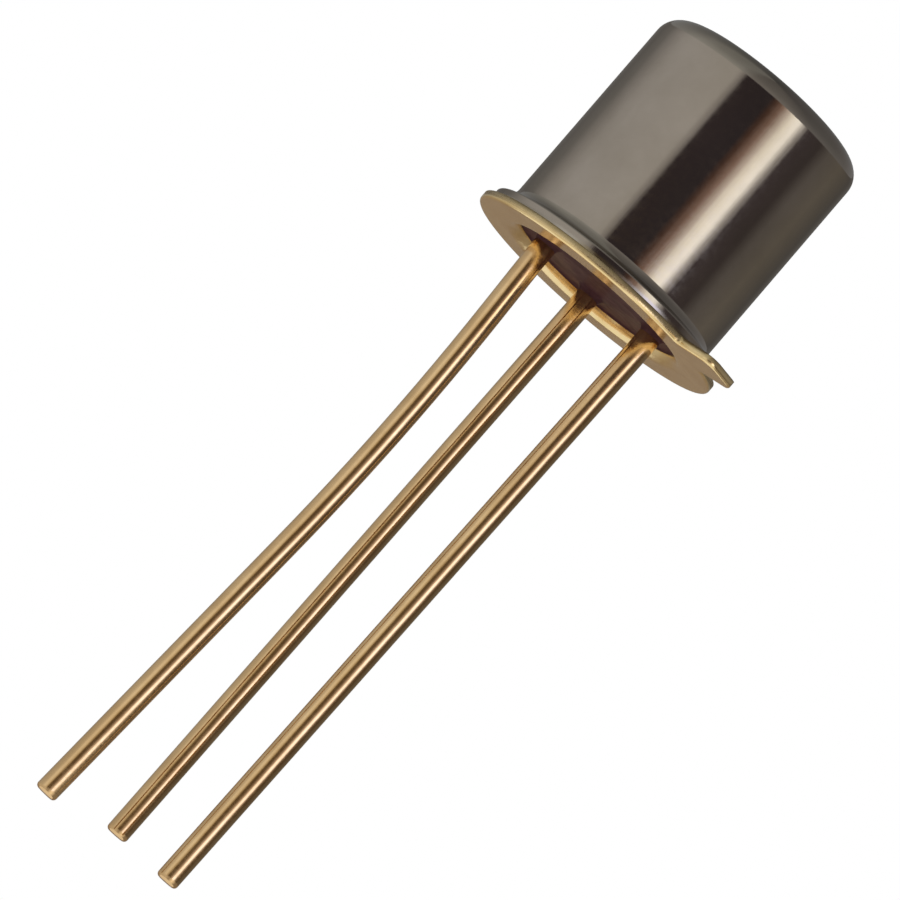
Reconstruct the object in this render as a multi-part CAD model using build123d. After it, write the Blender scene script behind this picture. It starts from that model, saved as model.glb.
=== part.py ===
from build123d import *
import os

# Small-signal bipolar transistor in a round metal can with a locating tab and three wire leads.
# Frame: origin at the centre of the header flange's underside, +Z towards the top of the can.
# The emitter lead is on +X, the base lead on +Y, the collector lead on -X, the tab between +X and -Y.
# Millimetres throughout.

# Can, drawn from sheet
can_diameter = 4.60
can_wall = 0.20
can_corner_radius = 0.42
overall_height = 4.96
can_flange_width = 0.30
can_flange_bend = 0.25
can_mouth_radius = 0.30

# Header shell, stamped and drawn from sheet
header_sheet = 0.16
header_overhang = 0.145
header_bend = 0.06
cup_height = 1.10
cup_clearance = 0.09
rim_round = 0.04

# Locating tab, part of the header shell
tab_angle = -45.0
tab_width = 1.00
tab_length = 0.89
tab_corner_radius = 0.25
tab_root_radius = 0.12

# Leads and the glass that holds them
lead_diameter = 0.457
lead_circle = 2.54
lead_end_chamfer = 0.08
glass_sleeve = 0.26
meniscus_width = 0.11
meniscus_height = 0.10
meniscus_lip = 0.014
emitter_length = 13.22
base_length = 13.11
collector_length = 13.43
post_height = 0.45

# How far the leads stray from upright: all three lean towards -X, and the collector lead also bows
lean_start = 0.15
lean_bend_radius = 3.0
emitter_lean = 0.225
base_lean = 0.125
bow_depth = 4.30
bow_inward = 0.16
bow_radius = 58.0
collector_lean = 0.39

# Chip and bond wires
die_side = 0.45
die_thickness = 0.18
preform_margin = 0.03
preform_thickness = 0.03
pad_offset = 0.12
wire_diameter = 0.05
wire_loop_height = 0.22
wire_bend_radius = 0.12
ball_diameter = 0.13
ball_height = 0.05

# Derived radii and heights
can_radius = can_diameter / 2
can_flange_radius = can_radius + can_flange_width
header_radius = can_flange_radius + header_overhang
cup_radius = can_radius - can_wall - cup_clearance
recess_radius = cup_radius - header_sheet
cup_ceiling = cup_height - header_sheet
glass_level = header_bend + header_sheet
lead_radius = lead_diameter / 2
sleeve_radius = lead_radius + glass_sleeve
lead_offset = lead_circle / 2
post_top = cup_height + post_height
die_bottom = cup_height + preform_thickness
die_top = die_bottom + die_thickness

emitter_place = (lead_offset, 0)
base_place = (0, lead_offset)
collector_place = (-lead_offset, 0)


def disc(radius, bottom, top, place=(0, 0)):
    """Upright cylinder between two heights."""
    return Pos(place[0], place[1], bottom) * Cylinder(
        radius, top - bottom, align=(Align.CENTER, Align.CENTER, Align.MIN)
    )


def rim(solid, radius, height):
    """The round edges of a solid at one radius and height, for a fillet."""
    edges = solid.edges().filter_by(GeomType.CIRCLE)
    return [
        edge
        for edge in edges
        if abs(edge.radius - radius) < 1e-4 and abs(edge.center().Z - height) < 1e-4
    ]


def make_cap():
    """Drawn can: a round top corner, a side, and a weld flange turned out on a small bend."""
    flange_top = header_sheet + can_wall
    outside = disc(can_radius, header_sheet, overall_height)
    outside += disc(can_flange_radius, header_sheet, flange_top)
    outside = fillet(rim(outside, can_radius, overall_height), can_corner_radius)
    outside = fillet(rim(outside, can_radius, flange_top), can_flange_bend)
    outside = fillet(rim(outside, can_flange_radius, flange_top), rim_round)

    inner_radius = can_radius - can_wall
    inside = disc(inner_radius, header_sheet, overall_height - can_wall)
    inside = fillet(
        rim(inside, inner_radius, overall_height - can_wall), can_corner_radius - can_wall
    )
    cap = outside - inside
    return fillet(rim(cap, inner_radius, header_sheet), can_mouth_radius)


def outline_edges(plate, straight_end):
    """The level edges round a flat plate, apart from those on its straight end at one distance along X."""
    edges = plate.edges().filter_by(Axis.Z, reverse=True)
    return [edge for edge in edges if abs(edge.center().X - straight_end) > 1e-3]


def make_flange():
    """Flat flange with the root of its tab along +X, the rim slightly rounded by stamping."""
    root_end = header_radius + tab_root_radius
    outline = Circle(header_radius) + Pos(root_end / 2, 0) * Rectangle(root_end, tab_width)
    flange = extrude(outline, header_sheet)
    roots = [
        edge
        for edge in flange.edges().filter_by(Axis.Z)
        if abs(Vector(edge.center().X, edge.center().Y).length - header_radius) < 1e-3
    ]
    flange = fillet(roots, tab_root_radius)
    return fillet(outline_edges(flange, root_end), rim_round)


def make_tab():
    """The tab beyond its root, along +X, its end rounded in plan."""
    start = header_radius + tab_root_radius
    end = header_radius + tab_length
    tab = extrude(Pos((start + end) / 2, 0) * Rectangle(end - start, tab_width), header_sheet)
    corners = tab.edges().filter_by(Axis.Z).group_by(Axis.X)[-1]
    tab = fillet(corners, tab_corner_radius)
    return fillet(outline_edges(tab, start), rim_round)


def make_header_shell():
    """Eyelet: flange with tab, bend, and an inverted cup whose floor has two lead holes."""
    shell = Rot(0, 0, tab_angle) * (make_flange() + make_tab())
    shell += disc(cup_radius, 0, cup_height)
    shell = fillet(rim(shell, cup_radius, cup_height), header_bend + header_sheet)
    shell = fillet(rim(shell, cup_radius, header_sheet), header_bend)
    recess = disc(recess_radius, 0, cup_ceiling)
    shell -= fillet(rim(recess, recess_radius, cup_ceiling), header_bend)
    shell = fillet(rim(shell, recess_radius, 0), header_bend + header_sheet)
    for place in (emitter_place, base_place):
        shell -= disc(sleeve_radius, cup_ceiling, cup_height, place)
    return shell


def make_meniscus(place):
    """Glass drawn up a lead where the lead leaves the seal."""
    return Pos(place[0], place[1], glass_level) * Cone(
        lead_radius + meniscus_width,
        lead_radius + meniscus_lip,
        meniscus_height,
        rotation=(180, 0, 0),
        align=(Align.CENTER, Align.CENTER, Align.MIN),
    )


def make_glass_seal(leads):
    """One fill of glass: the cup, the sleeves round the two insulated leads, and a rise at each lead."""
    fill = disc(recess_radius, glass_level, cup_ceiling)
    fill = fillet(rim(fill, recess_radius, cup_ceiling), header_bend)
    for place in (emitter_place, base_place):
        fill += disc(sleeve_radius, cup_ceiling, cup_height, place)
    for place in (emitter_place, base_place, collector_place):
        fill += make_meniscus(place)
    for lead in leads:
        fill -= lead
    return fill


def make_lead(points, radii):
    """Round wire through the given points from its upper end down, its lower end sheared."""
    path = FilletPolyline(*points, radius=radii)
    section = Plane(origin=path @ 0, z_dir=path % 0) * Circle(lead_radius)
    wire = sweep(section, path=path)
    return chamfer(wire.edges().group_by(Axis.Z)[0], lead_end_chamfer)


def make_insulated_lead(place, length, lean):
    """Lead that passes through the glass and ends in a bonding post above the header."""
    x, y = place
    points = [(x, y, post_top), (x, y, -lean_start), (x - lean, y, -length)]
    return make_lead(points, [lean_bend_radius])


def make_collector_lead():
    """Lead welded to the underside of the cup's floor, with a long gentle bow below the header."""
    x, y = collector_place
    points = [
        (x, y, cup_ceiling),
        (x, y, -lean_start),
        (x + bow_inward, y, -bow_depth),
        (x - collector_lean, y, -collector_length),
    ]
    return make_lead(points, [lean_bend_radius, bow_radius])


def make_die():
    """Square silicon chip on its preform."""
    return Pos(0, 0, die_bottom) * Box(
        die_side, die_side, die_thickness, align=(Align.CENTER, Align.CENTER, Align.MIN)
    )


def make_die_attach():
    """Gold-silicon preform, a little wider than the chip."""
    side = die_side + 2 * preform_margin
    return Pos(0, 0, cup_height) * Box(
        side, side, preform_thickness, align=(Align.CENTER, Align.CENTER, Align.MIN)
    )


def make_bond_wire(place):
    """Wire from a ball on the chip's pad, up and over to the top of a lead's post."""
    reach = Vector(place[0], place[1]).normalized()
    pad = reach * pad_offset
    crest = max(post_top, die_top + ball_height) + wire_loop_height
    path = FilletPolyline(
        (pad.X, pad.Y, die_top),
        (pad.X, pad.Y, crest),
        (place[0], place[1], crest),
        (place[0], place[1], post_top),
        radius=wire_bend_radius,
    )
    section = Plane(origin=path @ 0, z_dir=path % 0) * Circle(wire_diameter / 2)
    wire = sweep(section, path=path)
    return wire + disc(ball_diameter / 2, die_top, die_top + ball_height, (pad.X, pad.Y))


emitter_lead = make_insulated_lead(emitter_place, emitter_length, emitter_lean)
base_lead = make_insulated_lead(base_place, base_length, base_lean)
collector_lead = make_collector_lead()

pieces = {
    "cap": make_cap(),
    "header_shell": make_header_shell(),
    "glass_seal": make_glass_seal((emitter_lead, base_lead, collector_lead)),
    "emitter_lead": emitter_lead,
    "base_lead": base_lead,
    "collector_lead": collector_lead,
    "die_attach": make_die_attach(),
    "die": make_die(),
    "emitter_bond_wire": make_bond_wire(emitter_place),
    "base_bond_wire": make_bond_wire(base_place),
}

os.makedirs("parts", exist_ok=True)
for name, piece in pieces.items():
    export_step(piece, f"parts/{name}.step")
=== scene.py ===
import math

import bmesh
import bpy
from mathutils import Matrix, Quaternion, Vector


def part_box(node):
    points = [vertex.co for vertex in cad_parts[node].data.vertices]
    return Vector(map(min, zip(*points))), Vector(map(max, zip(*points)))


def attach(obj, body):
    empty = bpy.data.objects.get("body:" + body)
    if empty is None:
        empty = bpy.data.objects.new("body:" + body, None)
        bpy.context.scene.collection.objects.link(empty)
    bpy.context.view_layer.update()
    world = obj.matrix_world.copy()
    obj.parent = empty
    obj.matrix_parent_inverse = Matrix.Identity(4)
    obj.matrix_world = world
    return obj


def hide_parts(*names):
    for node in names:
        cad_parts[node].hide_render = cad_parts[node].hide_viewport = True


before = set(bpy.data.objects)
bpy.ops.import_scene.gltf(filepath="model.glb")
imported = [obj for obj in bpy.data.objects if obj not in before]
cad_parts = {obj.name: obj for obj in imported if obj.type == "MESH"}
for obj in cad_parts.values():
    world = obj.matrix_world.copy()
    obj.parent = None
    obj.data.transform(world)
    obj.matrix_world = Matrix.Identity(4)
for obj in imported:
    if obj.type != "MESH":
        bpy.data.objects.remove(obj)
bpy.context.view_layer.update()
scene = bpy.context.scene
mm = 0.001      # pieces are shaped in millimetres and brought to metres at the end
same = 0.0005   # mm, points nearer than this are one point
near = 0.01     # mm, how far a point may lie from the circle it is looked for on
print("frame loaded:", ", ".join(sorted(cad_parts)))


def nodeBox(node):
    # a CAD node's lowest and highest corner in millimetres
    low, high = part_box(node)
    return low / mm, high / mm


# camera

cameraSetup = {
    "azimuth": -3.2,        # degrees round the can, from the front
    "elevation": -8.8,      # the part is seen from a little below its header
    "roll": 40.7,           # turns the can to the upper right
    "lens": 280.0,          # long lens held close, so the can's top is seen from further below
    "sensor": 36.0,
    "frameWidth": 16.49,    # what the picture is wide at the header, mm
    "headerAt": (0.6590, 0.6708),   # header's centre, as shares from the left and from the bottom
    "clip": (0.01, 20),     # nearest and farthest, m
}


def aimCamera(setup):
    azimuth, elevation = math.radians(setup["azimuth"]), math.radians(setup["elevation"])
    back = Vector((
        math.sin(azimuth) * math.cos(elevation),
        -math.cos(azimuth) * math.cos(elevation),
        math.sin(elevation),
    ))
    turn = (-back).to_track_quat("-Z", "Y") @ Quaternion((0, 0, 1), math.radians(setup["roll"]))
    right, up = turn @ Vector((1, 0, 0)), turn @ Vector((0, 1, 0))
    width = setup["frameWidth"] * mm
    across, above = setup["headerAt"]
    distance = width * setup["lens"] / setup["sensor"]

    data = bpy.data.cameras.new("camera")
    data.lens, data.sensor_width = setup["lens"], setup["sensor"]
    data.clip_start, data.clip_end = setup["clip"]
    camera = bpy.data.objects.new("camera", data)
    camera.location = back * distance
    aimPoint = -right * (across - 0.5) * width - up * (above - 0.5) * width
    swing = (-back).rotation_difference(aimPoint - camera.location)
    camera.rotation_mode = "QUATERNION"
    camera.rotation_quaternion = swing @ turn
    scene.collection.objects.link(camera)
    scene.camera = camera


aimCamera(cameraSetup)
scene.view_settings.view_transform = "Standard"
print("camera set")


# materials

def hexColour(code):
    # sRGB hex to linear, with alpha
    channels = [int(code[i:i + 2], 16) / 255 for i in (0, 2, 4)]
    return [c / 12.92 if c <= 0.04045 else ((c + 0.055) / 1.055) ** 2.4 for c in channels] + [1.0]


def addNode(tree, kind, sockets=None, **settings):
    # one node, with its settings; a socket's value may be another node's output
    node = tree.nodes.new(kind)
    for name, value in settings.items():
        setattr(node, name, value)
    for name, value in (sockets or {}).items():
        if isinstance(value, bpy.types.NodeSocket):
            tree.links.new(value, node.inputs[name])
        else:
            node.inputs[name].default_value = value
    return node


def setRamp(node, stops):
    # stops are (position, colour) pairs from left to right
    elements = node.color_ramp.elements
    while len(elements) > 1:
        elements.remove(elements[-1])
    elements[0].position, elements[0].color = stops[0]
    for position, colour in stops[1:]:
        elements.new(position).color = colour


def newMaterial(name):
    material = bpy.data.materials.new(name)
    material.use_nodes = True
    tree = material.node_tree
    tree.nodes.clear()
    output = addNode(tree, "ShaderNodeOutputMaterial")
    coords = addNode(tree, "ShaderNodeTexCoord")
    return material, tree, output, coords.outputs["Object"]


def metalFinish(name, look):
    # plated metal: lines left by drawing or rolling, a fine grain that dulls it, and patches of tone
    material, tree, output, coords = newMaterial(name)
    lines = addNode(tree, "ShaderNodeMapping", {
        "Vector": coords,
        "Rotation": [math.radians(a) for a in look.get("lineTurn", (0, 0, 0))],
        "Scale": [1 / (size * mm) for size in look["lineSize"]],
    })
    lineNoise = addNode(tree, "ShaderNodeTexNoise", {
        "Vector": lines.outputs["Vector"], "Scale": 1.0, "Detail": 3.0, "Roughness": 0.6})
    grain = addNode(tree, "ShaderNodeTexNoise", {
        "Vector": coords, "Scale": 1 / (look["grainSize"] * mm), "Detail": 2.0, "Roughness": 0.55})
    patches = addNode(tree, "ShaderNodeTexNoise", {
        "Vector": coords, "Scale": 1 / (look["patchSize"] * mm), "Detail": 4.0, "Roughness": 0.6})

    tone = addNode(tree, "ShaderNodeValToRGB", {"Fac": patches.outputs["Fac"]})
    setRamp(tone, [(0.35, hexColour(look["colours"][0])), (0.65, hexColour(look["colours"][1]))])
    smooth, dull = look["roughness"]
    gloss = addNode(tree, "ShaderNodeMapRange", {
        "Value": grain.outputs["Fac"], "From Min": 0.3, "From Max": 0.7, "To Min": smooth, "To Max": dull})

    lineBump = addNode(tree, "ShaderNodeBump", {
        "Height": lineNoise.outputs["Fac"], "Strength": 1.0, "Distance": look["lineDepth"] * mm})
    grainBump = addNode(tree, "ShaderNodeBump", {
        "Height": grain.outputs["Fac"], "Strength": 1.0, "Distance": look["grainDepth"] * mm,
        "Normal": lineBump.outputs["Normal"]})
    normal = grainBump
    if "waveSize" in look:
        waves = addNode(tree, "ShaderNodeMapping", {
            "Vector": coords, "Scale": [1 / (size * mm) for size in look["waveSize"]]})
        waveNoise = addNode(tree, "ShaderNodeTexNoise", {
            "Vector": waves.outputs["Vector"], "Scale": 1.0, "Detail": 1.0})
        normal = addNode(tree, "ShaderNodeBump", {
            "Height": waveNoise.outputs["Fac"], "Strength": 1.0, "Distance": look["waveDepth"] * mm,
            "Normal": grainBump.outputs["Normal"]})

    shader = addNode(tree, "ShaderNodeBsdfPrincipled", {
        "Base Color": tone.outputs["Color"], "Metallic": 1.0,
        "Roughness": gloss.outputs["Result"], "Normal": normal.outputs["Normal"]})
    tree.links.new(shader.outputs["BSDF"], output.inputs["Surface"])
    return material


# bright nickel, barrel-plated on a deep-drawn can: dark mirror with faint upright draw lines
drawnNickel = metalFinish("drawnNickel", {
    "colours": ("9d968b", "a69f95"),
    "lineSize": (0.10, 0.10, 3.0), "lineDepth": 0.0006,
    "grainSize": 0.12, "grainDepth": 0.0004,
    "patchSize": 1.6, "roughness": (0.06, 0.11),
})

# gold plate over stamped nickel-iron sheet: satin, with the sheet's rolling lines
goldPlatedShell = metalFinish("goldPlatedShell", {
    "colours": ("e6cb92", "f2dba8"),
    "lineSize": (1.6, 0.08, 0.6), "lineTurn": (0, 0, 25), "lineDepth": 0.0010,
    "grainSize": 0.10, "grainDepth": 0.0005,
    "patchSize": 0.7, "roughness": (0.15, 0.26),
})

# the sheared edge of the same sheet: thin plate over a torn, greyer break
shearedEdge = metalFinish("shearedEdge", {
    "colours": ("d6be8c", "e6d0a2"),
    "lineSize": (0.06, 0.06, 0.8), "lineDepth": 0.003,
    "grainSize": 0.04, "grainDepth": 0.0015,
    "patchSize": 0.5, "roughness": (0.20, 0.36),
})

# gold plate over drawn wire: long die lines, and slow waves from straightening
goldPlatedWire = metalFinish("goldPlatedWire", {
    "colours": ("d6b484", "e2c293"),
    "lineSize": (0.05, 0.05, 2.5), "lineDepth": 0.0010,
    "grainSize": 0.09, "grainDepth": 0.0009,
    "waveSize": (0.5, 0.5, 1.3), "waveDepth": 0.0040,
    "patchSize": 0.8, "roughness": (0.09, 0.17),
})

# fine gold wire, soft and bright
bondWireGold = metalFinish("bondWireGold", {
    "colours": ("efc777", "f8d68c"),
    "lineSize": (0.01, 0.01, 0.3), "lineDepth": 0.0002,
    "grainSize": 0.01, "grainDepth": 0.0002,
    "patchSize": 0.2, "roughness": (0.15, 0.25),
})

# gold-silicon alloy frozen under the chip: matt and a little crystalline
goldPreform = metalFinish("goldPreform", {
    "colours": ("c79a55", "e3bd78"),
    "lineSize": (0.04, 0.04, 0.04), "lineDepth": 0.002,
    "grainSize": 0.02, "grainDepth": 0.001,
    "patchSize": 0.1, "roughness": (0.35, 0.55),
})


def glassFinish(name, look):
    # a smooth skin with dark swirls and a few fine bubbles, for fused glass and for polished oxide
    material, tree, output, coords = newMaterial(name)
    swirl = addNode(tree, "ShaderNodeTexNoise", {
        "Vector": coords, "Scale": 1 / (look["swirlSize"] * mm), "Detail": 4.0, "Distortion": 1.2})
    tone = addNode(tree, "ShaderNodeValToRGB", {"Fac": swirl.outputs["Fac"]})
    setRamp(tone, [(0.3, hexColour(look["colours"][0])), (0.7, hexColour(look["colours"][1]))])
    bubbles = addNode(tree, "ShaderNodeTexVoronoi", {
        "Vector": coords, "Scale": 1 / (look["bubbleSpacing"] * mm)})
    pits = addNode(tree, "ShaderNodeMapRange", {
        "Value": bubbles.outputs["Distance"], "From Min": 0.0, "From Max": look["bubbleShare"],
        "To Min": 0.0, "To Max": 1.0})
    skin = addNode(tree, "ShaderNodeBump", {
        "Height": pits.outputs["Result"], "Strength": 1.0, "Distance": look["pitDepth"] * mm})
    ripple = addNode(tree, "ShaderNodeBump", {
        "Height": swirl.outputs["Fac"], "Strength": 1.0, "Distance": look["rippleDepth"] * mm,
        "Normal": skin.outputs["Normal"]})
    shader = addNode(tree, "ShaderNodeBsdfPrincipled", {
        "Base Color": tone.outputs["Color"], "Metallic": 0.0, "Roughness": look["roughness"],
        "IOR": look["ior"], "Specular IOR Level": look["specular"], "Normal": ripple.outputs["Normal"]})
    tree.links.new(shader.outputs["BSDF"], output.inputs["Surface"])
    return material


# hard sealing glass, fused in the cup and coloured by its oxides: dark red-brown with a weak shine
sealingGlass = glassFinish("sealingGlass", {
    "colours": ("42262a", "5a3c3e"), "swirlSize": 0.5, "rippleDepth": 0.010,
    "bubbleSpacing": 0.35, "bubbleShare": 0.22, "pitDepth": 0.004,
    "roughness": 0.34, "ior": 1.40, "specular": 0.02,
})

# polished silicon with a thin oxide: dark blue-grey mirror
siliconFace = glassFinish("siliconFace", {
    "colours": ("2c3040", "454b60"), "swirlSize": 0.3, "rippleDepth": 0.0004,
    "bubbleSpacing": 0.2, "bubbleShare": 0.22, "pitDepth": 0.0002,
    "roughness": 0.10, "ior": 2.0, "specular": 0.5,
})
print("materials made")


# shaping

def ringEdges(geom):
    return [part for part in geom if isinstance(part, bmesh.types.BMEdge) and part.is_boundary]


def onlyVerts(geom):
    return [part for part in geom if isinstance(part, bmesh.types.BMVert)]


def startRing(bm, centre, radius, height, segments):
    # a bare circle of edges
    made = bmesh.ops.create_circle(
        bm, cap_ends=False, segments=segments, radius=radius,
        matrix=Matrix.Translation((centre[0], centre[1], height)))
    verts = set(made["verts"])
    return [edge for edge in bm.edges if edge.verts[0] in verts and edge.verts[1] in verts]


def nextRing(bm, ring, centre, radius, height):
    # extrudes a level ring and gives it a new radius and height
    middle = Vector((centre[0], centre[1], 0))
    old = (ring[0].verts[0].co - middle).xy.length
    made = bmesh.ops.extrude_edge_only(bm, edges=ring)["geom"]
    verts = onlyVerts(made)
    bmesh.ops.translate(bm, verts=verts, vec=(0, 0, height - verts[0].co.z))
    bmesh.ops.scale(bm, verts=verts, vec=(radius / old, radius / old, 1), space=Matrix.Translation(-middle))
    return ringEdges(made)


def sweepWire(bm, points, bends, radius, segments, bendSteps, endSupport=0.0):
    # round wire from the first point to the last, with one bend radius for each point between
    points = [Vector(p) for p in points]
    ways = [(b - a).normalized() for a, b in zip(points, points[1:])]
    ring = startRing(bm, (0, 0), radius, 0, segments)
    firstVerts = list({v for edge in ring for v in edge.verts})
    lay = Matrix.Translation(points[0]) @ ways[0].to_track_quat("Z", "Y").to_matrix().to_4x4()
    bmesh.ops.transform(bm, matrix=lay, verts=firstVerts)
    bmesh.ops.edgeloop_fill(bm, edges=ring)
    here = points[0]
    for corner, way, nextWay, bend in zip(points[1:], ways, ways[1:], bends):
        angle = way.angle(nextWay)
        arcStart = corner - way * (bend * math.tan(angle / 2))
        ring = goStraight(bm, ring, arcStart - here)
        inward = (nextWay - way * way.dot(nextWay)).normalized()
        turned = bmesh.ops.spin(
            bm, geom=ring, cent=arcStart + inward * bend, axis=way.cross(nextWay).normalized(),
            angle=angle, steps=bendSteps, use_duplicate=False)
        ring = [part for part in turned["geom_last"] if isinstance(part, bmesh.types.BMEdge)]
        here = corner + nextWay * (bend * math.tan(angle / 2))
    ring = goStraight(bm, ring, points[-1] - here - ways[-1] * endSupport)
    if endSupport:
        ring = goStraight(bm, ring, ways[-1] * endSupport)
    bmesh.ops.edgeloop_fill(bm, edges=ring)
    return ring


def goStraight(bm, ring, move):
    made = bmesh.ops.extrude_edge_only(bm, edges=ring)["geom"]
    bmesh.ops.translate(bm, verts=onlyVerts(made), vec=move)
    return ringEdges(made)


def meshObject(bm, name, materials):
    mesh = bpy.data.meshes.new(name)
    bm.to_mesh(mesh)
    bm.free()
    for material in materials:
        mesh.materials.append(material)
    made = bpy.data.objects.new(name, mesh)
    scene.collection.objects.link(made)
    return made


def finishPiece(bm, name, materials, node):
    # closes the mesh, turns its faces outwards, brings it to metres and puts it on the frame
    bmesh.ops.remove_doubles(bm, verts=bm.verts, dist=same)
    bmesh.ops.recalc_face_normals(bm, faces=bm.faces)
    bmesh.ops.scale(bm, verts=bm.verts, vec=(mm, mm, mm))
    piece = meshObject(bm, name, materials)
    piece.data.shade_smooth()
    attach(piece, "root")
    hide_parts(node)
    print("made", name, "with", len(piece.data.polygons), "faces")


# can

capLow, capHigh = nodeBox("cap")
can = {
    "radius": 2.30, "wall": 0.20, "topCorner": 0.42, "sideBend": 0.25, "mouth": 0.30,
    "flangeEdge": 0.04, "lowerEdge": 0.012,
    "steps": 192, "cornerSteps": 12, "support": 0.05,
}


def spinProfile(bm, corners, steps):
    # corners are (radius, height, rounding); each is rounded, then the line is spun round the Z axis
    verts = [bm.verts.new((x, 0, z)) for x, z, rounding in corners]
    for a, b in zip(verts, verts[1:]):
        bm.edges.new((a, b))
    for vert, (x, z, rounding) in zip(verts, corners):
        if rounding:
            bmesh.ops.bevel(
                bm, geom=[vert], offset=rounding, offset_type="OFFSET", segments=can["cornerSteps"],
                profile=0.5, affect="VERTICES", material=-1)
    line = list(bm.verts) + list(bm.edges)
    bmesh.ops.spin(
        bm, geom=line, cent=(0, 0, 0), axis=(0, 0, 1), angle=2 * math.pi, steps=steps, use_merge=True)


def makeCan():
    top, flangeTop, bottom = capHigh.z, capLow.z + can["wall"], capLow.z
    flangeRadius, inside = capHigh.x, can["radius"] - can["wall"]
    bm = bmesh.new()
    spinProfile(bm, [
        (0, top, 0),
        (can["radius"] - can["topCorner"] - can["support"], top, 0),
        (can["radius"], top, can["topCorner"]),
        (can["radius"], top - can["topCorner"] - can["support"], 0),
        (can["radius"], flangeTop + can["sideBend"] + can["support"], 0),
        (can["radius"], flangeTop, can["sideBend"]),
        (flangeRadius, flangeTop, can["flangeEdge"]),
        (flangeRadius, bottom, can["lowerEdge"]),
        (inside, bottom, can["mouth"]),
        (inside, top - can["wall"], can["topCorner"] - can["wall"]),
        (0, top - can["wall"], 0),
    ], can["steps"])
    finishPiece(bm, "canBody", [drawnNickel], "cap")


makeCan()


# header shell with its tab

header = {
    "radius": -nodeBox("header_shell")[0].x,
    "sheet": 0.16, "bend": 0.06,
    "recess": 1.85, "ceiling": 0.94,
    "tabAngle": -45.0, "tabWidth": 1.00, "tabLength": 0.89,
    "tabCorner": 0.25, "tabRoot": 0.12,
    "flatRing": 2.30,       # where the plain ring of faces round the bend begins
    "edgeInset": 0.11,      # a line of faces that keeps the flat side flat beside the rounded rim
    "lowerEdge": 0.05, "lowerSteps": 4, "upperEdge": 0.03, "upperSteps": 2,
    "holeRadius": 0.4885,
    "support": 0.04,        # how far past a bend the first line of faces on the flat lies
    "rimBand": (-0.05, 0.02),   # how far from the flange's edge a rim face lies; the tab's lie further out
    "rimTilt": 0.3,         # and how far its normal may leave the level
    "steps": 216, "cornerSteps": 8, "rootSteps": 6, "bendSteps": 10, "ceilingSteps": 4, "holeSteps": 48,
}
emitterAt, baseAt, collectorAt = (1.27, 0), (0, 1.27), (-1.27, 0)


def spinVert(bm, vert, centre, angle, steps):
    made = bmesh.ops.spin(
        bm, geom=[vert], cent=(centre[0], centre[1], 0), axis=(0, 0, 1),
        angle=math.radians(angle), steps=steps, use_duplicate=False)
    return onlyVerts(made["geom_last"])[0]


def extendVert(bm, vert, place):
    made = onlyVerts(bmesh.ops.extrude_vert_indiv(bm, verts=[vert])["verts"])[0]
    made.co = (place[0], place[1], 0)
    return made


def headerOutline(bm):
    # half of the flange's outline with the tab on +X, drawn from the tab's tip round to -X, then mirrored
    h = header
    half, tip = h["tabWidth"] / 2, h["radius"] + h["tabLength"]
    rootY = half + h["tabRoot"]
    rootX = math.sqrt((h["radius"] + h["tabRoot"]) ** 2 - rootY ** 2)
    rootAngle = math.degrees(math.atan2(rootY, rootX))
    vert = bm.verts.new((tip, 0, 0))
    vert = extendVert(bm, vert, (tip, half - h["tabCorner"]))
    vert = spinVert(bm, vert, (tip - h["tabCorner"], half - h["tabCorner"]), 90, h["cornerSteps"])
    vert = extendVert(bm, vert, (rootX, half))
    vert = spinVert(bm, vert, (rootX, rootY), rootAngle - 90, h["rootSteps"])
    spinVert(bm, vert, (0, 0), 180 - rootAngle, h["steps"] // 2)
    twin = bmesh.ops.duplicate(bm, geom=list(bm.verts) + list(bm.edges))["geom"]
    bmesh.ops.scale(bm, verts=onlyVerts(twin), vec=(1, -1, 1))
    bmesh.ops.remove_doubles(bm, verts=bm.verts, dist=same)
    return list(bm.edges)


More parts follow.
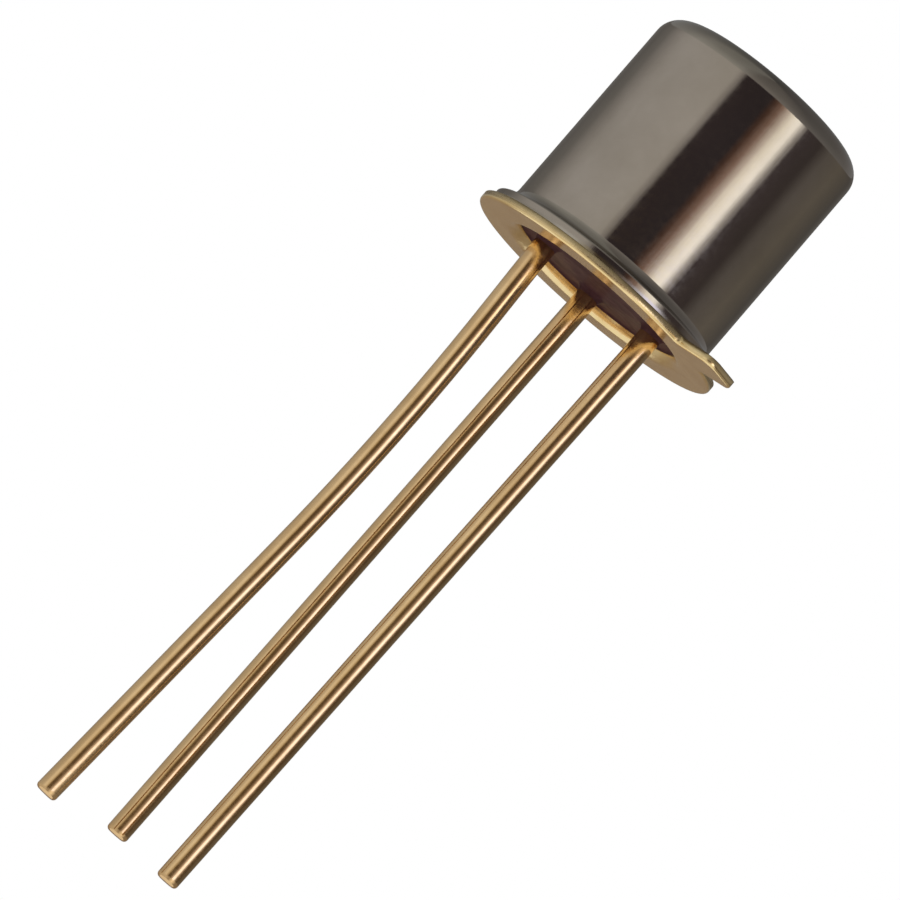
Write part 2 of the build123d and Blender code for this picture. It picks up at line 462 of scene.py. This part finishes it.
def makeHeader():
    h = header
    bm = bmesh.new()
    outline = headerOutline(bm)
    inner = startRing(bm, (0, 0), h["flatRing"], 0, h["steps"])
    plate = bmesh.ops.triangle_fill(bm, use_beauty=True, edges=outline + inner)["geom"]
    plateFaces = [part for part in plate if isinstance(part, bmesh.types.BMFace)]
    bmesh.ops.inset_region(
        bm, faces=plateFaces, thickness=h["edgeInset"], use_boundary=True, use_even_offset=True)

    # the bend into the cup, the cup's wall, and its ceiling with two holes
    bendRadius = h["bend"] + h["sheet"]
    ring = [
        edge for edge in bm.edges
        if edge.is_boundary and all(abs(v.co.length - h["flatRing"]) < near for v in edge.verts)
    ]
    ring = nextRing(bm, ring, (0, 0), h["recess"] + bendRadius + h["support"], 0)
    ring = nextRing(bm, ring, (0, 0), h["recess"], 0)
    corner = list(ring)
    ring = nextRing(bm, ring, (0, 0), h["recess"], bendRadius + h["support"])
    ring = nextRing(bm, ring, (0, 0), h["recess"], h["ceiling"])
    ceiling = list(ring)
    for at in (emitterAt, baseAt):
        ceiling += startRing(bm, at, h["holeRadius"], h["ceiling"], h["holeSteps"])
    bmesh.ops.triangle_fill(bm, use_beauty=True, edges=ceiling)
    bmesh.ops.bevel(
        bm, geom=corner, offset=bendRadius, offset_type="OFFSET", segments=h["bendSteps"], profile=0.5,
        affect="EDGES", material=-1)
    ceiling = [
        edge for edge in bm.edges
        if all(abs(v.co.z - h["ceiling"]) < same and abs(v.co.xy.length - h["recess"]) < near
               for v in edge.verts)
    ]
    bmesh.ops.bevel(
        bm, geom=ceiling, offset=h["bend"], offset_type="OFFSET", segments=h["ceilingSteps"],
        profile=0.5, affect="EDGES", material=-1)

    # the sheet's thickness goes up and outwards from this lower surface
    bmesh.ops.recalc_face_normals(bm, faces=bm.faces)
    under = max(bm.faces, key=lambda face: face.calc_center_median().x)
    if under.normal.z > 0:
        bmesh.ops.reverse_faces(bm, faces=bm.faces)
    bmesh.ops.solidify(bm, geom=list(bm.faces), thickness=h["sheet"])

    # the sheared rim, rounded more on its lower side, where the punch drew it down
    rimFrom, rimTo = (h["radius"] + reach for reach in h["rimBand"])
    rimFaces = {
        face for face in bm.faces
        if abs(face.normal.z) < h["rimTilt"] and face.calc_center_median().xy.length > rimFrom
    }
    for face in rimFaces:
        if face.calc_center_median().xy.length < rimTo:
            face.material_index = 1
    for lower, width, segments in (
        (True, h["lowerEdge"], h["lowerSteps"]), (False, h["upperEdge"], h["upperSteps"])
    ):
        border = [
            edge for edge in bm.edges
            if len([f for f in edge.link_faces if f in rimFaces]) == 1
            and any(f not in rimFaces and (f.normal.z < 0) == lower for f in edge.link_faces)
        ]
        bmesh.ops.bevel(
            bm, geom=border, offset=width, offset_type="OFFSET", segments=segments, profile=0.5,
            affect="EDGES", material=0, clamp_overlap=True)
        rimFaces = {face for face in rimFaces if face.is_valid}
    bmesh.ops.rotate(
        bm, verts=bm.verts, cent=(0, 0, 0), matrix=Matrix.Rotation(math.radians(h["tabAngle"]), 3, "Z"))
    finishPiece(bm, "headerShell", [goldPlatedShell, shearedEdge], "header_shell")


makeHeader()


# glass

glass = {
    "level": 0.22, "ceiling": 0.94, "sleeveTop": 1.10, "sleeveRadius": 0.4885,
    "leadRadius": 0.2285,
    "riseWidth": 0.11, "riseHeight": 0.10,      # how the glass climbs each lead
    "riseCurve": ((0.35, 0.08), (0.62, 0.27), (0.82, 0.55), (1.0, 1.0)),     # as shares of the two
    "wallWidth": 0.10, "wallRise": 0.035,       # and how it climbs the shell
    "wallCurve": ((0.5, 0.18), (0.8, 0.50), (1.0, 1.0)),
    "steps": 160, "leadSteps": 48,
}


def makeGlass():
    g, recess = glass, header["recess"]
    bm = bmesh.new()
    # lower surface: flat, with a concave rise at each lead and at the wall
    flat = startRing(bm, (0, 0), recess - g["wallWidth"], g["level"], g["steps"])
    wall = list(flat)
    for share, rise in g["wallCurve"]:
        wall = nextRing(
            bm, wall, (0, 0), recess - g["wallWidth"] * (1 - share), g["level"] - g["wallRise"] * rise)
    collars = []
    for at in (emitterAt, baseAt, collectorAt):
        ring = startRing(bm, at, g["leadRadius"] + g["riseWidth"], g["level"], g["leadSteps"])
        flat += ring
        for share, rise in g["riseCurve"]:
            ring = nextRing(
                bm, ring, at, g["leadRadius"] + g["riseWidth"] * (1 - share),
                g["level"] - g["riseHeight"] * rise)
        collars.append(ring)
    bmesh.ops.triangle_fill(bm, use_beauty=True, edges=flat)

    # the cup's fill, and the sleeves round the two insulated leads
    wall = nextRing(bm, wall, (0, 0), recess, g["ceiling"] - header["bend"])
    wall = nextRing(bm, wall, (0, 0), recess - header["bend"], g["ceiling"])
    top = list(wall)
    for at, ring in zip((emitterAt, baseAt), collars):
        ring = nextRing(bm, ring, at, g["leadRadius"], g["sleeveTop"])
        ring = nextRing(bm, ring, at, g["sleeveRadius"], g["sleeveTop"])
        top += nextRing(bm, ring, at, g["sleeveRadius"], g["ceiling"])
    top += nextRing(bm, collars[2], collectorAt, g["leadRadius"], g["ceiling"])
    bmesh.ops.triangle_fill(bm, use_beauty=True, edges=top)
    finishPiece(bm, "glassFill", [sealingGlass], "glass_seal")


makeGlass()


# leads

leads = {
    "radius": 0.2285, "postTop": 1.55, "weldTop": 0.94,
    "leanStart": -0.15, "leanBend": 3.0,
    "emitterLean": 0.225, "baseLean": 0.125, "collectorLean": 0.39,     # all towards -X
    "bowIn": 0.16, "bowHeight": -4.30, "bowBend": 58.0,     # where the collector lead bows inwards
    "tipRound": 0.08, "tipSupport": 0.13,
    "steps": 56, "bendSteps": 12, "tipSteps": 6,
}


def makeLead(name, node, points, bends):
    bm = bmesh.new()
    tip = sweepWire(
        bm, points, bends, leads["radius"], leads["steps"], leads["bendSteps"], leads["tipSupport"])
    bmesh.ops.bevel(
        bm, geom=tip, offset=leads["tipRound"], offset_type="OFFSET", segments=leads["tipSteps"],
        profile=0.5, affect="EDGES", material=-1)
    finishPiece(bm, name, [goldPlatedWire], node)


def makeLeads():
    for name, node, at, lean in (
        ("emitterWire", "emitter_lead", emitterAt, leads["emitterLean"]),
        ("baseWire", "base_lead", baseAt, leads["baseLean"]),
    ):
        bottom = nodeBox(node)[0].z
        makeLead(name, node, [
            (at[0], at[1], leads["postTop"]),
            (at[0], at[1], leads["leanStart"]),
            (at[0] - lean, at[1], bottom),
        ], [leads["leanBend"]])
    bottom = nodeBox("collector_lead")[0].z
    x, y = collectorAt
    makeLead("collectorWire", "collector_lead", [
        (x, y, leads["weldTop"]),
        (x, y, leads["leanStart"]),
        (x + leads["bowIn"], y, leads["bowHeight"]),
        (x - leads["collectorLean"], y, bottom),
    ], [leads["leanBend"], leads["bowBend"]])


makeLeads()


# chip and bond wires

bonds = {
    "radius": 0.025, "crest": 1.77, "bend": 0.12, "postTop": 1.55,
    "padOffset": 0.12, "ballWidth": 0.13, "ballHeight": 0.05,
    "steps": 16, "bendSteps": 8, "ballSteps": (32, 16),
}


def makeBondWires():
    b = bonds
    dieTop = nodeBox("die")[1].z
    for name, node, at in (
        ("emitterBond", "emitter_bond_wire", emitterAt),
        ("baseBond", "base_bond_wire", baseAt),
    ):
        pad = Vector((at[0], at[1], 0)).normalized() * b["padOffset"]
        bm = bmesh.new()
        sweepWire(bm, [
            (pad.x, pad.y, dieTop), (pad.x, pad.y, b["crest"]),
            (at[0], at[1], b["crest"]), (at[0], at[1], b["postTop"]),
        ], [b["bend"], b["bend"]], b["radius"], b["steps"], b["bendSteps"])
        squash = Matrix.Translation((pad.x, pad.y, dieTop + b["ballHeight"] / 2)) @ Matrix.Diagonal(
            (1, 1, b["ballHeight"] / b["ballWidth"], 1))
        bmesh.ops.create_uvsphere(
            bm, u_segments=b["ballSteps"][0], v_segments=b["ballSteps"][1],
            radius=b["ballWidth"] / 2, matrix=squash)
        finishPiece(bm, name, [bondWireGold], node)


makeBondWires()


def repaint(node, material):
    # a CAD node whose shape is right keeps its mesh and gets a better finish
    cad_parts[node].data.materials.clear()
    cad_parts[node].data.materials.append(material)


repaint("die", siliconFace)
repaint("die_attach", goldPreform)
print("pieces made")


# studio

studio = {
    "tentRadius": 0.30, "tentBottom": -0.245, "lowFrom": -0.012, "wallFrom": 0.044,
    "roofFrom": 0.104, "roofShoulder": (0.25, 0.22), "roofTop": 0.32, "roofFade": 0.5, "tentSteps": 128,
    "floorHeight": -0.25, "floorSize": 6.0, "floorColour": "f4f3f0", "floorGlow": 0.45,
    "skyLevel": 0.55,
    "brightest": 4.0,       # the panels' tones are kept as shares of this
    "lampAt": (0.16, -0.20, 0.06), "lampSize": 0.25, "lampPower": 0.12,
}
# tones of the tent's panels, by degrees to the right of the camera; 1 is white
# the wall is what the can mirrors
wallPanels = [
    (-180, (0.15, 0.14, 0.13)), (-150, (0.17, 0.16, 0.15)), (-131, (0.26, 0.25, 0.24)),
    (-116, (0.46, 0.44, 0.43)), (-103, (0.62, 0.60, 0.59)), (-92, (0.68, 0.66, 0.65)),
    (-34, (0.70, 0.67, 0.64)), (-28, (0.45, 0.42, 0.41)), (-24, (0.065, 0.05, 0.055)),
    (6, (0.055, 0.045, 0.05)), (11, (0.13, 0.07, 0.05)), (19, (0.45, 0.29, 0.23)),
    (26, (1.1, 0.95, 0.85)), (32, (1.9, 1.8, 1.6)), (40, (2.2, 2.15, 2.05)), (46, (0.8, 0.76, 0.74)),
    (52, (0.10, 0.08, 0.085)), (72, (0.085, 0.07, 0.07)), (86, (0.20, 0.18, 0.17)),
    (111, (0.235, 0.21, 0.18)), (146, (0.12, 0.11, 0.10)), (180, (0.15, 0.14, 0.13)),
]
# the low wall is what the leads mirror
lowPanels = [
    (-180, (0.30, 0.29, 0.27)), (-150, (0.34, 0.33, 0.31)), (-131, (0.44, 0.43, 0.41)),
    (-116, (0.50, 0.49, 0.47)), (-97, (0.54, 0.53, 0.51)), (-81, (0.57, 0.56, 0.54)),
    (-66, (0.70, 0.69, 0.67)), (-54, (0.90, 0.90, 0.88)), (-40, (0.84, 0.83, 0.80)),
    (-29, (0.56, 0.50, 0.38)), (-19, (0.14, 0.10, 0.06)), (-4, (0.13, 0.10, 0.07)),
    (6, (0.24, 0.19, 0.16)), (17, (0.50, 0.44, 0.46)), (26, (1.2, 1.2, 1.4)), (33, (2.0, 2.0, 2.6)),
    (44, (1.9, 1.9, 2.5)), (52, (0.75, 0.74, 0.85)), (60, (0.20, 0.17, 0.15)), (70, (0.12, 0.09, 0.07)),
    (84, (0.09, 0.07, 0.055)), (97, (0.13, 0.12, 0.11)), (130, (0.15, 0.14, 0.13)),
    (180, (0.30, 0.29, 0.27)),
]
# the foot, below the horizon, is what the header's underside mirrors
footPanels = [
    (-180, (0.29, 0.23, 0.18)), (-150, (0.33, 0.27, 0.21)), (-100, (0.62, 0.59, 0.54)),
    (-30, (0.70, 0.67, 0.62)), (0, (0.40, 0.36, 0.32)), (40, (1.2, 1.15, 1.05)), (80, (0.30, 0.27, 0.24)),
    (140, (0.28, 0.23, 0.18)), (180, (0.29, 0.23, 0.18)),
]
# the roof is what the can's top and its rounded corner mirror
roofPanels = [
    (-180, (0.20, 0.20, 0.20)), (-120, (0.40, 0.40, 0.39)), (-92, (0.56, 0.56, 0.54)),
    (-36, (0.56, 0.56, 0.54)), (-20, (0.36, 0.34, 0.33)), (20, (0.36, 0.34, 0.33)),
    (60, (0.26, 0.25, 0.25)), (140, (0.27, 0.26, 0.26)), (180, (0.20, 0.20, 0.20)),
]


def onlyInReflections(thing):
    thing.visible_camera = False
    thing.visible_diffuse = False
    thing.visible_shadow = False
    thing.visible_volume_scatter = False


def spunCard(name, line, material):
    bm = bmesh.new()
    verts = [bm.verts.new((x, 0, z)) for x, z in line]
    edges = [bm.edges.new(pair) for pair in zip(verts, verts[1:])]
    bmesh.ops.spin(
        bm, geom=verts + edges, cent=(0, 0, 0), axis=(0, 0, 1), angle=2 * math.pi,
        steps=studio["tentSteps"], use_merge=True)
    onlyInReflections(meshObject(bm, name, [material]))


def panelCloth(name, panels, fade=None):
    # glowing cloth whose tone goes by the angle round the part; a fade is (from, to, last level) by height
    brightest = studio["brightest"]
    material, tree, output, coords = newMaterial(name)
    turn = addNode(tree, "ShaderNodeMapping", {
        "Vector": coords, "Rotation": (0, 0, math.radians(90 - cameraSetup["azimuth"]))})
    around = addNode(
        tree, "ShaderNodeTexGradient", {"Vector": turn.outputs["Vector"]}, gradient_type="RADIAL")
    tones = addNode(tree, "ShaderNodeValToRGB", {"Fac": around.outputs["Fac"]})
    setRamp(tones, [
        (degrees / 360 + 0.5, [c / brightest for c in tone] + [1.0]) for degrees, tone in panels])
    level = brightest
    if fade:
        place = addNode(tree, "ShaderNodeSeparateXYZ", {"Vector": coords})
        level = addNode(tree, "ShaderNodeMapRange", {
            "Value": place.outputs["Z"], "From Min": fade[0], "From Max": fade[1],
            "To Min": brightest, "To Max": brightest * fade[2]}).outputs["Result"]
    glow = addNode(tree, "ShaderNodeEmission", {"Color": tones.outputs["Color"], "Strength": level})
    tree.links.new(glow.outputs["Emission"], output.inputs["Surface"])
    return material


def makeTent():
    # four bands, one above the other: foot, low wall, wall and roof
    s = studio
    radius = s["tentRadius"]
    bottom, low, high, roof = s["tentBottom"], s["lowFrom"], s["wallFrom"], s["roofFrom"]
    spunCard("tentFoot", [(radius, bottom), (radius, low)], panelCloth("tentFootCloth", footPanels))
    spunCard("tentLow", [(radius, low), (radius, high)], panelCloth("tentLowCloth", lowPanels))
    spunCard("tentWall", [(radius, high), (radius, roof)], panelCloth("tentWallCloth", wallPanels))
    roofCloth = panelCloth("tentRoofCloth", roofPanels, (roof, s["roofTop"], s["roofFade"]))
    spunCard("tentRoof", [(radius, roof), s["roofShoulder"], (0, s["roofTop"])], roofCloth)


def seenOrMirrored(tree):
    # 1 for a ray from the camera, or one that a piece mirrored or let through
    path = addNode(tree, "ShaderNodeLightPath")
    seen = addNode(tree, "ShaderNodeMath", {
        0: path.outputs["Is Camera Ray"], 1: path.outputs["Is Glossy Ray"]}, operation="MAXIMUM")
    seen = addNode(tree, "ShaderNodeMath", {
        0: seen.outputs[0], 1: path.outputs["Is Transmission Ray"]}, operation="MAXIMUM")
    return seen.outputs[0]


def makeFloor():
    # pale floor: white cloth, lifted a little where it is seen as background
    s = studio
    material, tree, output, coords = newMaterial("paleFloorCloth")
    lift = addNode(
        tree, "ShaderNodeMath", {0: seenOrMirrored(tree), 1: s["floorGlow"]}, operation="MULTIPLY")
    cloth = addNode(tree, "ShaderNodeBsdfDiffuse", {"Color": hexColour(s["floorColour"])})
    glow = addNode(tree, "ShaderNodeEmission", {
        "Color": hexColour(s["floorColour"]), "Strength": lift.outputs[0]})
    both = addNode(tree, "ShaderNodeAddShader", {0: cloth.outputs["BSDF"], 1: glow.outputs["Emission"]})
    tree.links.new(both.outputs["Shader"], output.inputs["Surface"])
    bm = bmesh.new()
    bmesh.ops.create_grid(
        bm, x_segments=1, y_segments=1, size=s["floorSize"] / 2,
        matrix=Matrix.Translation((0, 0, s["floorHeight"])))
    meshObject(bm, "floor", [material])


def makeSky():
    # even soft light from all round, white where it is seen or mirrored
    world = bpy.data.worlds.new("studioSky")
    world.use_nodes = True
    scene.world = world
    tree = world.node_tree
    tree.nodes.clear()
    level = addNode(tree, "ShaderNodeMapRange", {
        "Value": seenOrMirrored(tree), "To Min": studio["skyLevel"], "To Max": 1.0})
    background = addNode(tree, "ShaderNodeBackground", {
        "Color": (1, 1, 1, 1), "Strength": level.outputs["Result"]})
    output = addNode(tree, "ShaderNodeOutputWorld")
    tree.links.new(background.outputs["Background"], output.inputs["Surface"])


def makeLamp():
    # one wide soft lamp at the camera's right; the metal mirrors the tent instead of it
    data = bpy.data.lights.new("softLamp", "AREA")
    data.shape, data.size, data.energy = "SQUARE", studio["lampSize"], studio["lampPower"]
    lamp = bpy.data.objects.new("softLamp", data)
    lamp.location = studio["lampAt"]
    lamp.rotation_mode = "QUATERNION"
    lamp.rotation_quaternion = lamp.location.to_track_quat("Z", "Y")
    lamp.visible_glossy = False
    scene.collection.objects.link(lamp)


makeTent()
makeFloor()
makeSky()
makeLamp()
print("studio lit")
